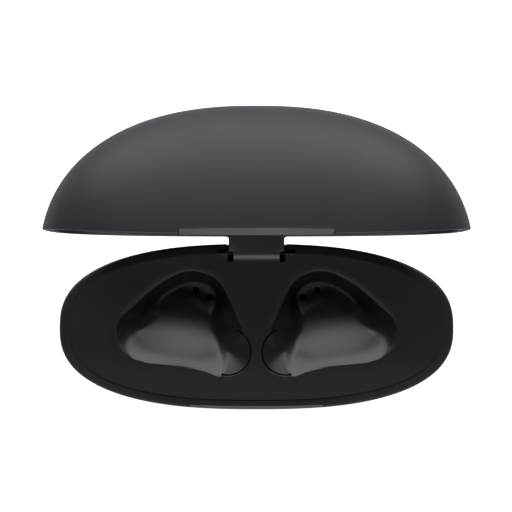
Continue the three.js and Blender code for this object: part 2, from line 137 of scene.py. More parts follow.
def mesh_from(name, points, faces):
    """Mesh from points in millimetres, with its faces turned to point outwards."""
    mesh = bpy.data.meshes.new(name)
    mesh.from_pydata((np.asarray(points, float) * MM).tolist(), [], faces)
    mesh.update()
    fix = bmesh.new()
    fix.from_mesh(mesh)
    bmesh.ops.recalc_face_normals(fix, faces=fix.faces)
    fix.to_mesh(mesh)
    fix.free()
    return mesh


def smooth(mesh, degrees=35):
    """Smooth shading that stays crisp across edges sharper than the given angle."""
    fix = bmesh.new()
    fix.from_mesh(mesh)
    limit = math.radians(degrees)
    for face in fix.faces:
        face.smooth = True
    for edge in fix.edges:
        edge.smooth = len(edge.link_faces) == 2 and edge.calc_face_angle(0) < limit
    fix.to_mesh(mesh)
    fix.free()
    return mesh


def loft(name, rings, start=None, end=None):
    """Closed skin through equal rings of points, with a pole or a flat cap at each end."""
    rings = np.asarray(rings, float)
    count, around = rings.shape[:2]
    points = rings.reshape(-1, 3).tolist()
    faces = []
    for r in range(count - 1):
        for i in range(around):
            j = (i + 1) % around
            a, b = r * around, (r + 1) * around
            faces.append((a + i, a + j, b + j, b + i))
    for pole, base in ((start, 0), (end, (count - 1) * around)):
        if pole is None:
            faces.append(tuple(base + i for i in range(around)))
            continue
        points.append(list(pole))
        for i in range(around):
            faces.append((base + i, base + (i + 1) % around, len(points) - 1))
    return mesh_from(name, points, faces)


def block(name, x, y, z):
    """Plain block for cutting."""
    corners = [(x[i], y[j], z[k]) for i in (0, 1) for j in (0, 1) for k in (0, 1)]
    faces = [(0, 1, 3, 2), (4, 6, 7, 5), (0, 4, 5, 1), (2, 3, 7, 6), (0, 2, 6, 4), (1, 5, 7, 3)]
    return mesh_from(name, corners, faces)


def join_solids(mesh, other, operation):
    """Boolean of two meshes, applied at once."""
    holder = bpy.data.objects.new("work_a", mesh)
    tool = bpy.data.objects.new("work_b", other)
    for item in (holder, tool):
        bpy.context.scene.collection.objects.link(item)
    modifier = holder.modifiers.new("cut", "BOOLEAN")
    modifier.operation = operation
    modifier.solver = "EXACT"
    modifier.object = tool
    graph = bpy.context.evaluated_depsgraph_get()
    result = bpy.data.meshes.new_from_object(holder.evaluated_get(graph))
    bpy.data.objects.remove(holder)
    bpy.data.objects.remove(tool)
    bpy.data.meshes.remove(mesh)
    bpy.data.meshes.remove(other)
    return result


def bevel_sharp(mesh, where, width, segments=2, degrees=45):
    """Rounds the sharp edges whose middle, in millimetres, satisfies `where`."""
    fix = bmesh.new()
    fix.from_mesh(mesh)
    bmesh.ops.dissolve_degenerate(fix, dist=1e-7, edges=fix.edges)
    limit = math.radians(degrees)
    edges = []
    for edge in fix.edges:
        if len(edge.link_faces) != 2 or edge.calc_face_angle(0) < limit:
            continue
        middle = (edge.verts[0].co + edge.verts[1].co) / (2 * MM)
        if where(middle):
            edges.append(edge)
    if edges:
        bmesh.ops.bevel(
            fix, geom=edges, offset=width * MM, segments=segments, profile=0.5,
            affect="EDGES", clamp_overlap=True,
        )
    fix.to_mesh(mesh)
    fix.free()
    return mesh


def lathe(name, profile, axis, at, around=48):
    """Solid of revolution: profile is a list of (radius, distance along the axis)."""
    rings = []
    turns = np.arange(around) / around * 2 * math.pi
    for radius, along in profile:
        flat = np.stack([radius * np.cos(turns), radius * np.sin(turns)], 1)
        line = np.full(around, along)
        if axis == "x":
            ring = np.stack([line, flat[:, 0], flat[:, 1]], 1)
        elif axis == "y":
            ring = np.stack([flat[:, 0], line, flat[:, 1]], 1)
        else:
            ring = np.stack([flat[:, 0], flat[:, 1], line], 1)
        rings.append(ring + np.array(at))
    return loft(name, rings)


def rounded_box(name, x, y, z, radius, segments=3):
    mesh = block(name, x, y, z)
    fix = bmesh.new()
    fix.from_mesh(mesh)
    bmesh.ops.bevel(
        fix, geom=fix.edges[:], offset=radius * MM, segments=segments, profile=0.5, affect="EDGES"
    )
    fix.to_mesh(mesh)
    fix.free()
    return mesh


# ---------- directions round the pebble ----------
THUMB_HALF_BODY = 10.5
THUMB_HALF_LID = 10.2
END_STEP = 0.05


def plan_directions(count, ends):
    """Directions spaced evenly round the rim, with close pairs at the front at each |x| in ends."""
    dense = np.linspace(0, 2 * math.pi, 20001)
    x = HALF_WIDTH * signed_power(np.cos(dense), 2 / PLAN_POWER)
    y = HALF_THICKNESS * signed_power(np.sin(dense), 2 / PLAN_POWER)
    length = np.concatenate([[0], np.cumsum(np.hypot(np.diff(x), np.diff(y)))])
    even = np.interp(np.arange(count) / count * length[-1], length, dense)
    extra = []
    for end in ends:
        for step in (-1.5 * END_STEP, -0.5 * END_STEP, 0.5 * END_STEP, 1.5 * END_STEP):
            share = ((end + step) / (HALF_WIDTH * float(spread(Z_RIM - FRONT_DIP)))) ** (PLAN_POWER / 2)
            angle = math.acos(share)
            extra += [2 * math.pi - angle, math.pi + angle]
    extra = np.array(extra)
    kept = [t for t in even if not len(extra) or np.min(np.abs(extra - t)) > 0.004]
    turns = np.sort(np.concatenate([kept, extra]))
    return signed_power(np.cos(turns), 2 / PLAN_POWER), signed_power(np.sin(turns), 2 / PLAN_POWER)


AROUND = 560


def pebble_ring(u, v, z, inset=0.0):
    z = np.broadcast_to(np.asarray(z, float), u.shape)
    inset = np.broadcast_to(np.asarray(inset, float), u.shape)
    wide = spread(z, inset)
    return np.stack([(HALF_WIDTH - inset) * wide * u, (HALF_THICKNESS - inset) * wide * v, z], 1)


# ---------- lower shell ----------
RIM_FILLET = 0.42
RIM_INNER_FILLET = 0.004
BASE_FILLET = 0.6
BODY_CHAMFER = (0.6, 0.72)        # inwards, downwards
LID_CHAMFER = (0.5, 0.95)


def rim_profile(u, v, fillet, chamfer, half, slope_back, slope_front):
    """Rows over a rim edge: (inset, drop) for every direction, from the outer wall to the inner wall."""
    x = HALF_WIDTH * u
    thumb = (v < 0) & (np.abs(x) < half)
    ease = 1 - 0.2 * (x / half) ** 2
    back = np.clip(0.5 + 0.5 * v * 1.4, 0, 1)
    slope = slope_front + (slope_back - slope_front) * back
    rows = []
    for k in range(7):
        turn = k / 6 * math.pi / 2
        share = k / 6
        inset = np.where(thumb, chamfer[0] * ease * share, fillet * (1 - math.cos(turn)))
        drop = np.where(thumb, chamfer[1] * ease * (1 - share), fillet * (1 - math.sin(turn)))
        rows.append((inset, drop + slope * (1 - inset / WALL)))
    for inset in (0.9, 1.2, WALL - RIM_INNER_FILLET):
        rows.append((np.full(u.shape, inset), slope * (1 - inset / WALL)))
    for k in (1, 2):
        turn = k / 2 * math.pi / 2
        inset = WALL - RIM_INNER_FILLET * (1 - math.sin(turn))
        rows.append((np.full(u.shape, inset), np.full(u.shape, RIM_INNER_FILLET * (1 - math.cos(turn)))))
    return rows


def lower_shell():
    u, v = plan_directions(AROUND, [THUMB_HALF_BODY])
    rim = Z_RIM - dip(HALF_THICKNESS * float(spread(Z_RIM)) * v)
    rings = []
    for share in (0.35, 0.7, 0.9):
        rings.append(pebble_ring(u, v, 0.0) * share)
    # the base edge is rounded between the flat and the wall
    flat = pebble_ring(u, v, 0.0)
    for k in range(5):
        t = k / 4
        level = BASE_FILLET * 0.9 * t**2
        pull = BASE_FILLET * (1 - t) ** 2 * 0.9
        ring = pebble_ring(u, v, level)
        norm = np.linalg.norm(flat[:, :2], axis=1, keepdims=True)
        ring[:, :2] -= pull * flat[:, :2] / norm
        rings.append(ring)
    start = BASE_FILLET * 0.9
    for t in np.linspace(0, 1, 30)[1:]:
        rings.append(pebble_ring(u, v, start + (Z_WIDEST - start) * t**1.25))
    rows = rim_profile(u, v, RIM_FILLET, BODY_CHAMFER, THUMB_HALF_BODY, 0.16, 0.05)
    first = rim - rows[0][1]
    for t in np.linspace(0, 1, 9)[1:-1]:
        rings.append(pebble_ring(u, v, Z_WIDEST + (first - Z_WIDEST) * t))
    for inset, drop in rows:
        rings.append(pebble_ring(u, v, rim - drop, inset))
    last = rim - rows[-1][1]
    for t in np.linspace(0, 1, 20)[1:]:
        rings.append(pebble_ring(u, v, last + (WALL - last) * t ** 0.8, WALL))
    for share in (0.8, 0.4):
        floor = pebble_ring(u, v, WALL, WALL) * share
        floor[:, 2] = WALL
        rings.append(floor)
    return loft("lower_shell_skin", rings, (0, 0, 0), (0, 0, WALL))


NOTCH_HALF = 4.75
SLOT_HALF = 6.0
SLOT_FRONT = 9.45
SLOT_INNER = 4.52
SLOT_STEP = 11.35
KNUCKLE_FRONT = HINGE_Y - 1.38
SLOT_BACK = 12.1
HINGE_SEAT = HINGE_Z - 1.65
EAR_HALF = 7.9
EAR_TOP = HINGE_Z + 1.5
PORT_Z = float((node_box("usb_c_shell")[0][2] + node_box("usb_c_shell")[1][2]) / 2)
PORT_HALF = (4.8, 1.9)
BUTTON_Z = float((node_box("pairing_button")[0][2] + node_box("pairing_button")[1][2]) / 2)
BUTTON_HOLE = 2.25
LED_Z = float((node_box("led_light_pipe")[0][2] + node_box("led_light_pipe")[1][2]) / 2)
LED_HOLE = 0.72


def rounded_ring(half_x, half_z, radius, y, z, corner=10):
    points = []
    for sx, sz, quarter in ((1, 1, 0), (-1, 1, 1), (-1, -1, 2), (1, -1, 3)):
        for k in range(corner + 1):
            turn = (quarter + k / corner) * math.pi / 2
            points.append(
                (sx * (half_x - radius) + radius * math.cos(turn), y,
                 z + sz * (half_z - radius) + radius * math.sin(turn))
            )
    return points


def cut_lower_shell(mesh):
    far = 30
    cutters = [
        block("c", (-SLOT_HALF, SLOT_HALF), (SLOT_FRONT, SLOT_BACK), (HINGE_SEAT, far)),
        block("c", (-NOTCH_HALF, NOTCH_HALF), (SLOT_FRONT + 0.01, far), (HINGE_SEAT + 0.01, far + 1)),
        block("c", (-EAR_HALF, EAR_HALF), (SLOT_FRONT + 0.02, 12.5), (HINGE_SEAT + 0.02, EAR_TOP)),
        loft("c", [rounded_ring(*PORT_HALF, 1.85, y, PORT_Z) for y in (5, 15)]),
        lathe("c", [(BUTTON_HOLE, 6), (BUTTON_HOLE, 16)], "y", (0, 0, BUTTON_Z), 64),
        lathe("c", [(LED_HOLE, -16), (LED_HOLE, -8)], "y", (0, 0, LED_Z), 32),
    ]
    for cutter in cutters:
        mesh = join_solids(mesh, cutter, "DIFFERENCE")
    port = lambda p: p.y > 8 and abs(p.x) < 6 and abs(p.z - PORT_Z) < 2.5
    mesh = bevel_sharp(mesh, port, 0.22, 3)
    button = lambda p: p.y > 12.0 and math.hypot(p.x, p.z - BUTTON_Z) < BUTTON_HOLE + 0.3
    mesh = bevel_sharp(mesh, button, 0.12, 2)
    return smooth(mesh)


shell = new_object("shell_lower", cut_lower_shell(lower_shell()), "case", "soft_touch_plastic", "lower_shell")

# ---------- tray with the two pits ----------
TRAY_INSET = WALL + 0.004
TRAY_THICKNESS = 1.2
BOWL_OUTLINE = [
    (21.6, -0.7), (20.8, 1.4), (18.1, 3.9), (15.9, 5.8), (13.6, 7.3), (11.6, 8.3), (9.4, 8.5),
    (7.2, 7.9), (5.6, 6.5), (4.4, 4.4), (3.2, 1.6), (2.2, -0.9), (2.3, -3.6), (3.6, -6.2),
    (5.6, -7.7), (8.3, -6.9), (12.0, -6.1), (15.9, -5.7), (18.8, -5.1), (20.9, -3.2),
]
BOWL_CENTRE = np.array([12.2, 2.2])
FLOOR_DEPTH = 5.1
FLOOR_TILT = 0.04
FLOOR_BLEND = 3.0
FRONT_EDGE = 0.03
POCKET_CENTRE = np.array([4.5, -3.9])
POCKET_RADIUS = 3.75
RIDGE_NORMAL = np.array([-0.8, -0.6])
POCKET_STEP = 0.25
POCKET_REACH = -0.9
POCKET_SLOPE = 0.5
CREVICE_WIDTH = 0.24
CREVICE_DEPTH = 1.3
CONTACT_HOLE = 0.5
PIN_NAMES = ["left_outer", "left_inner", "right_inner", "right_outer"]


def middle_of(node):
    low, high = node_box(node)
    return (low + high) / 2


PIN_PLACES = {name: middle_of(f"pogo_plunger_{name}") for name in PIN_NAMES}


def closed_curve(points, each=30):
    """Smooth closed curve through the points."""
    points = np.asarray(points, float)
    before, after, later = np.roll(points, 1, 0), np.roll(points, -1, 0), np.roll(points, -2, 0)
    out = []
    for k in range(each):
        t = k / each
        out.append(
            0.5 * (2 * points + (after - before) * t
                   + (2 * before - 5 * points + 4 * after - later) * t**2
                   + (-before + 3 * points - 3 * after + later) * t**3)
        )
    return np.stack(out, 1).reshape(-1, 2)


RIM_CURVE = closed_curve(BOWL_OUTLINE)
RIM_ANGLES = np.unwrap(np.arctan2(RIM_CURVE[:, 1] - BOWL_CENTRE[1], RIM_CURVE[:, 0] - BOWL_CENTRE[0]))
RIM_REACH = np.hypot(*(RIM_CURVE - BOWL_CENTRE).T)
RIM_ORDER = np.argsort(np.mod(RIM_ANGLES, 2 * math.pi))
RIM_TABLE = np.mod(RIM_ANGLES, 2 * math.pi)[RIM_ORDER], RIM_REACH[RIM_ORDER]


def rim_reach(angle):
    return np.interp(np.mod(angle, 2 * math.pi), *RIM_TABLE, period=2 * math.pi)


# how round the bowl's upper edge is, by direction from its centre: 0 outwards, 90 to the back
ROUND_AT = [20, 62, 96, 128, 190, 213, 235, 318, 340, 349, 358]
ROUND_SIZE = [1.25, 1.1, 0.7, 0.4, 0.3, 0.15, 0.05, 0.05, 0.4, 0.7, 1.0]
# how steep the bowl's wall is: gentle in front, steeper to the back, the outer end and the middle
FRONT_SLOPE, SIDE_SLOPE, BACK_SLOPE, INNER_SLOPE, END_SLOPE = 0.93, 1.9, 2.2, -0.95, -0.6
SIDE_BLEND = 1.6
# the front edge as a line that runs on past both of its ends
FRONT_X = np.arange(-3, 27, 0.1)
FRONT_LINE = np.interp(
    FRONT_X, [0, 2, 4, 5.6, 8.3, 12.0, 15.9, 18.8, 20.9, 23.0],
    [-9.4, -8.9, -8.4, -7.9, -7.0, -6.2, -5.8, -5.2, -4.0, -2.4],
)
FRONT_KERNEL = np.exp(-0.5 * (np.arange(-30, 31) / 10.0) ** 2)
FRONT_LINE = np.convolve(np.pad(FRONT_LINE, 30, mode="edge"), FRONT_KERNEL / FRONT_KERNEL.sum(), "valid")
# the dimple that holds the two contacts
DIMPLE = np.array([[9.9, 5.7], [7.6, 4.6]])
DIMPLE_REACH = 2.7
DIMPLE_DEPTH = 0.6


def edge_round(angle):
    return np.interp(np.mod(np.degrees(angle), 360), ROUND_AT, ROUND_SIZE, period=360)


def rim_distance(points):
    """Distance from the bowl's outline, for points outside it."""
    best = np.full(len(points), 1e9)
    for start in range(0, len(points), 2000):
        part = points[start:start + 2000]
        gap = np.hypot(part[:, None, 0] - RIM_CURVE[None, :, 0], part[:, None, 1] - RIM_CURVE[None, :, 1])
        best[start:start + 2000] = gap.min(1)
    return best


def quarter(share):
    """Quarter-circle fall: 0 at share 1, 1 at share 0, level at share 1."""
    share = np.clip(share, 0, 1)
    return 1 - np.sqrt(np.clip(1 - (1 - share) ** 2, 0, 1))


def smooth_max(a, b, blend):
    h = np.clip(blend - np.abs(a - b), 0, None) / blend
    return np.maximum(a, b) + h * h * blend / 4


def step_up(value):
    """Smooth step from 0 at 0 to 1 at 1."""
    value = np.clip(value, 0, 1)
    return value * value * (3 - 2 * value)


def segment_distance(p, a, b):
    """Distance from the straight line between two points."""
    way = b - a
    share = np.clip((p - a) @ way / (way @ way), 0, 1)
    return np.hypot(*(p - a - share[:, None] * way).T)


def bowl_depth(p):
    """A floor that falls to the back, walls that meet it in a smooth curve, and a round upper edge."""
    off = p - BOWL_CENTRE
    angle = np.arctan2(off[:, 1], off[:, 0])
    share = np.hypot(*off.T) / rim_reach(angle)
    size = edge_round(angle)
    near = rim_distance(p)
    steep = SIDE_SLOPE + BACK_SLOPE * step_up((p[:, 1] - 1.5) / 4)
    steep += INNER_SLOPE * step_up((11 - p[:, 0]) / 6) * step_up((6 - p[:, 1]) / 6)
    steep += END_SLOPE * step_up((p[:, 0] - 12) / 8) * step_up((6 - p[:, 1]) / 6)
    side = size + steep * near
    front = FRONT_EDGE + FRONT_SLOPE * (p[:, 1] - np.interp(p[:, 0], FRONT_X, FRONT_LINE))
    floor = FLOOR_DEPTH + FLOOR_TILT * p[:, 1]
    floor += DIMPLE_DEPTH * (1 - np.clip(segment_distance(p, *DIMPLE) / DIMPLE_REACH, 0, 1) ** 2) ** 2
    blend = SIDE_BLEND * np.clip(side / 2.5, 0.02, 1)
    inside = -smooth_max(smooth_max(-front, -floor, FLOOR_BLEND), -side, blend)
    outside = size * quarter(near / size)
    return np.where(share < 1, np.maximum(inside, size), outside)


EDGE = 0.06


def pocket_depth(p):
    """Shallow round recess beside the bowl: a fine crevice round it, and a face that falls to the bowl."""
    off = p - POCKET_CENTRE
    inwards = np.where(off @ RIDGE_NORMAL > POCKET_REACH, POCKET_RADIUS - np.hypot(*off.T), -1)
    face = POCKET_STEP + POCKET_SLOPE * inwards
    crevice = EDGE + (CREVICE_DEPTH - EDGE) * np.clip(inwards / 0.03, 0, 1)
    crevice = np.where(inwards < CREVICE_WIDTH, crevice, 0)
    inside = np.maximum(np.where(inwards > CREVICE_WIDTH - 0.03, face, 0), crevice)
    return np.where(inwards > 0, inside, EDGE * quarter(-inwards / EDGE))


TRAY_A = (HALF_WIDTH - TRAY_INSET) * float(spread(Z_RIM, TRAY_INSET))
TRAY_B = (HALF_THICKNESS - TRAY_INSET) * float(spread(Z_RIM, TRAY_INSET))


def tray_edge_distance(p):
    """Distance inwards from the tray's outer edge."""
    a, b = np.abs(p[:, 0]) / TRAY_A, np.abs(p[:, 1]) / TRAY_B
    total = a**PLAN_POWER + b**PLAN_POWER + 1e-12
    level = total ** (1 / PLAN_POWER)
    slope_x = level / total * a ** (PLAN_POWER - 1) / TRAY_A
    slope_y = level / total * b ** (PLAN_POWER - 1) / TRAY_B
    return (1 - level) / np.maximum(np.hypot(slope_x, slope_y), 1e-4)


def deck_edge_size(y):
    """The deck's outer edge is round at the back and almost sharp at the front."""
    return 0.004 + 0.03 * np.clip((y - 1) / 6, 0, 1)


def tray_height(points):
    p = np.stack([np.abs(points[:, 0]), points[:, 1]], 1)
    depth = smooth_max(bowl_depth(p), pocket_depth(p), 0.12)
    depth = np.where(depth < 0.031, np.maximum(bowl_depth(p), pocket_depth(p)), depth)
    size = deck_edge_size(p[:, 1])
    edge = size * quarter(np.clip(tray_edge_distance(p), 0, None) / size)
    return Z_RIM - dip(p[:, 1]) - np.maximum(depth, edge)


def within(points, outline):
    """Which points lie inside a closed outline."""
    odd = np.zeros(len(points), bool)
    for (ax, ay), (bx, by) in zip(outline, outline[1:] + outline[:1]):
        if ay != by:
            crosses = (ay > points[:, 1]) != (by > points[:, 1])
            odd ^= crosses & (points[:, 0] < ax + (points[:, 1] - ay) / (by - ay) * (bx - ax))
    return odd


def tray():
    points, edges = [], []

    def add_line(line, closed, constrain=True):
        base = len(points)
        points.extend(map(tuple, line))
        if not constrain:
            return
        count = len(line)
        edges.extend((base + i, base + i + 1) for i in range(count - 1))
        if closed:
            edges.append((base + count - 1, base))

    # outer edge, with the room for the hinge cut out of its back
    turns = np.linspace(0, 2 * math.pi, 20001)
    x = TRAY_A * signed_power(np.cos(turns), 2 / PLAN_POWER)
    y = TRAY_B * signed_power(np.sin(turns), 2 / PLAN_POWER)
    length = np.concatenate([[0], np.cumsum(np.hypot(np.diff(x), np.diff(y)))])
    even = np.interp(np.arange(420) / 420 * length[-1], length, turns)
    rim = np.stack([TRAY_A * signed_power(np.cos(even), 2 / PLAN_POWER),
                    TRAY_B * signed_power(np.sin(even), 2 / PLAN_POWER)], 1)
    slot_back = float(TRAY_B * (1 - (SLOT_HALF / TRAY_A) ** PLAN_POWER) ** (1 / PLAN_POWER))
    left = [p for p in rim if not (p[1] > 0 and abs(p[0]) < SLOT_HALF + 0.08)]
    cut = next(i for i in range(len(left)) if left[i][0] < 0 and left[i][1] > 0)
    corner = [
        (SLOT_HALF, slot_back), (SLOT_HALF, SLOT_STEP + 0.1), (SLOT_HALF - 0.03, SLOT_STEP + 0.03),
        (SLOT_HALF - 0.1, SLOT_STEP), (SLOT_INNER + 0.1, SLOT_STEP), (SLOT_INNER + 0.03, SLOT_STEP - 0.03),
        (SLOT_INNER, SLOT_STEP - 0.1), (SLOT_INNER, 10.6), (SLOT_INNER, KNUCKLE_FRONT + 0.15),
        (SLOT_INNER - 0.04, KNUCKLE_FRONT + 0.04), (SLOT_INNER - 0.15, KNUCKLE_FRONT),
    ]
    floor_line = [(t, KNUCKLE_FRONT) for t in np.linspace(SLOT_INNER - 0.4, -SLOT_INNER + 0.4, 20)]
    notch = corner + floor_line + [(-a, b) for a, b in reversed(corner)]
    outline = list(map(tuple, left[:cut])) + notch + list(map(tuple, left[cut:]))
    add_line(outline, True)
    # rings just inside the edge
    for step in (0.03, 0.08, 0.15, 0.25, 0.6):
        line = rim * ((TRAY_A - step) / TRAY_A, (TRAY_B - step) / TRAY_B)
        keep = [p for p in line if not (p[1] > SLOT_FRONT - 0.1 and abs(p[0]) < SLOT_HALF + 0.1)]
        add_line(keep, False, False)
    # pits, drawn on the right and mirrored
    turn_steps = np.arange(220) / 220 * 2 * math.pi
    unit = np.stack([np.cos(turn_steps), np.sin(turn_steps)], 1)
    outline_points = BOWL_CENTRE + unit * rim_reach(turn_steps)[:, None]
    tangent = np.roll(outline_points, -1, 0) - np.roll(outline_points, 1, 0)
    normal = np.stack([tangent[:, 1], -tangent[:, 0]], 1) / np.hypot(*tangent.T)[:, None]
    size = edge_round(turn_steps)[:, None]
    in_pocket = lambda q, grow: (
        np.abs(np.hypot(*(q - POCKET_CENTRE).T) - POCKET_RADIUS + CREVICE_WIDTH / 2)
        < CREVICE_WIDTH / 2 + grow
    ) & ((q - POCKET_CENTRE) @ RIDGE_NORMAL > POCKET_REACH)
    shares = [1.0, 0.9975, 0.992, 0.98, 0.962, 0.94, 0.915, 0.885, 0.85, 0.81, 0.765, 0.715,
              0.66, 0.6, 0.53, 0.45, 0.36, 0.26, 0.14]
    rows = [outline_points + normal * size * s for s in (1.0, 0.8, 0.6, 0.42, 0.27, 0.14, 0.05)]
    for k, share in enumerate(shares):
        row = BOWL_CENTRE + (outline_points - BOWL_CENTRE) * share
        rows.append(row[::2] if share < 0.5 else row)
    holes = [(abs(v[0]), v[1]) for v in PIN_PLACES.values() if v[0] > 0]
    near_hole = lambda q: (
        np.min([np.hypot(q[:, 0] - a, q[:, 1] - b) for a, b in holes], 0) < CONTACT_HOLE + 0.15
    )
    for side in (1, -1):
        for k, row in enumerate(rows):
            drop = in_pocket(row, 0.02) | near_hole(row)
            if k < 14:
                runs, run = [], []
                for i, p in enumerate(row):
                    if drop[i]:
                        runs.append(run)
                        run = []
                    else:
                        run.append((side * p[0], p[1]))
                runs.append(run)
                whole = len(runs) == 1
                for run in runs:
                    if len(run) > 1:
                        add_line(run, whole)
            else:
                add_line([(side * p[0], p[1]) for p, d in zip(row, drop) if not d], False, False)
        # pocket: arcs along its round wall, just outside and inside it
        arc = np.linspace(math.radians(105), math.radians(280), 110)
        for inwards in (-EDGE, -EDGE / 2, 0, 0.03, CREVICE_WIDTH - 0.03, CREVICE_WIDTH,
                        0.25, 0.4, 0.6, 0.85, 1.15):
            ring = POCKET_CENTRE + (POCKET_RADIUS - inwards) * np.stack([np.cos(arc), np.sin(arc)], 1)
            add_line([(side * p[0], p[1]) for p in ring], False, inwards <= CREVICE_WIDTH)
        for a, b in holes:
            circle = np.arange(28) / 28 * 2 * math.pi
            outer = CONTACT_HOLE + 0.12
            add_line([(side * a + CONTACT_HOLE * math.cos(t), b + CONTACT_HOLE * math.sin(t))
                      for t in circle], True)
            add_line([(side * a + outer * math.cos(t), b + outer * math.sin(t))
                      for t in circle], False, False)
    # loose points over the deck
    pitch = 0.55
    grid = []
    for row, yy in enumerate(np.arange(-TRAY_B, TRAY_B, pitch * 0.87)):
        for xx in np.arange(-TRAY_A, TRAY_A, pitch):
            grid.append((xx + (pitch / 2 if row % 2 else 0), yy))
    grid = np.array(grid)
    mirrored = np.stack([np.abs(grid[:, 0]), grid[:, 1]], 1)
    off = mirrored - BOWL_CENTRE
    clear = (np.hypot(*off.T) > rim_reach(np.arctan2(off[:, 1], off[:, 0]))) & (rim_distance(mirrored) > 1.45)
    clear &= np.hypot(*(mirrored - POCKET_CENTRE).T) > POCKET_RADIUS + 0.25
    clear &= tray_edge_distance(mirrored) > 0.8
    clear &= ~((grid[:, 1] > SLOT_FRONT - 0.2) & (np.abs(grid[:, 0]) < SLOT_HALF + 0.2))
    add_line(grid[clear], False, False)

    flat, _, triangles, *_ = delaunay_2d_cdt(
        [Vector(p) for p in points], edges, [], 1, 1e-4, False
    )
    flat = np.array([tuple(p) for p in flat])
    triangles = np.array([t for t in triangles if len(t) == 3])
    centres = flat[triangles].mean(1)
    inside = np.ones(len(triangles), bool)
    for a, b in holes:
        inside &= np.hypot(np.abs(centres[:, 0]) - a, centres[:, 1] - b) > CONTACT_HOLE * 0.98
    inside &= ~within(centres, notch)
    triangles = triangles[inside]
    top = tray_height(flat)
    count = len(flat)
    all_points = np.concatenate([
        np.column_stack([flat, top]), np.column_stack([flat, top - TRAY_THICKNESS]),
    ])
    faces = [tuple(map(int, t)) for t in triangles]
    border = {}
    for a, b, c in faces:
        for edge in ((a, b), (b, c), (c, a)):
            key = (min(edge), max(edge))
            if key in border:
                border[key] = None
            else:
                border[key] = edge
    faces += [(c + count, b + count, a + count) for a, b, c in faces]
    for edge in border.values():
        if edge:
            a, b = edge
            faces.append((a, a + count, b + count, b))
    mesh = mesh_from("tray_skin", all_points, faces)
    loose = bmesh.new()
    loose.from_mesh(mesh)
    bmesh.ops.delete(loose, geom=[p for p in loose.verts if not p.link_faces], context="VERTS")
    loose.to_mesh(mesh)
    loose.free()
    return smooth(mesh, 38)


tray_piece = new_object("tray", tray(), "case", "soft_touch_plastic", "earbud_tray")

# ---------- lid ----------
def to_open(mesh):
    """Turns a mesh drawn on the closed case to where the open lid stands."""
    for vertex in mesh.vertices:
        x, y, z = vertex.co / MM
        vertex.co = Vector((x, HINGE_Y + (z - HINGE_Z), HINGE_Z - (y - HINGE_Y))) * MM
    mesh.update()
    return mesh


LID_FILLET = 0.25


def lid_shell():
    u, v = plan_directions(AROUND, [THUMB_HALF_LID])
    rim = Z_RIM + LID_GAP - dip(HALF_THICKNESS * float(spread(Z_RIM)) * v)
    rows = rim_profile(u, v, LID_FILLET, LID_CHAMFER, THUMB_HALF_LID, 0.03, 0.03)
    rings = []
    first = rim + rows[0][1]
    top = Z_WIDEST + SEMI_UP
    for lift in np.linspace(math.radians(87), 0, 44)[:-1]:
        level = Z_WIDEST + SEMI_UP * math.sin(lift) ** (2 / UPPER_POWER)
        share = (level - Z_WIDEST) / SEMI_UP
        rings.append(pebble_ring(u, v, first + (top - first) * share))
    for inset, drop in rows:
        rings.append(pebble_ring(u, v, rim + drop, inset))
    last = rim + rows[-1][1]
    inner_top = top - WALL
    for lift in np.linspace(0, math.radians(86), 26)[1:]:
        share = math.sin(lift) ** (2 / UPPER_POWER)
        rings.append(pebble_ring(u, v, last + (inner_top - last) * share, WALL))
    return loft("lid_skin", rings, (0, 0, top), (0, 0, inner_top))


NECK_HALF = 4.4
KNUCKLE_HALF = 3.7
KNUCKLE_RADIUS = 1.3
NECK_FILLET = 0.5
ARM_EDGE = 0.14


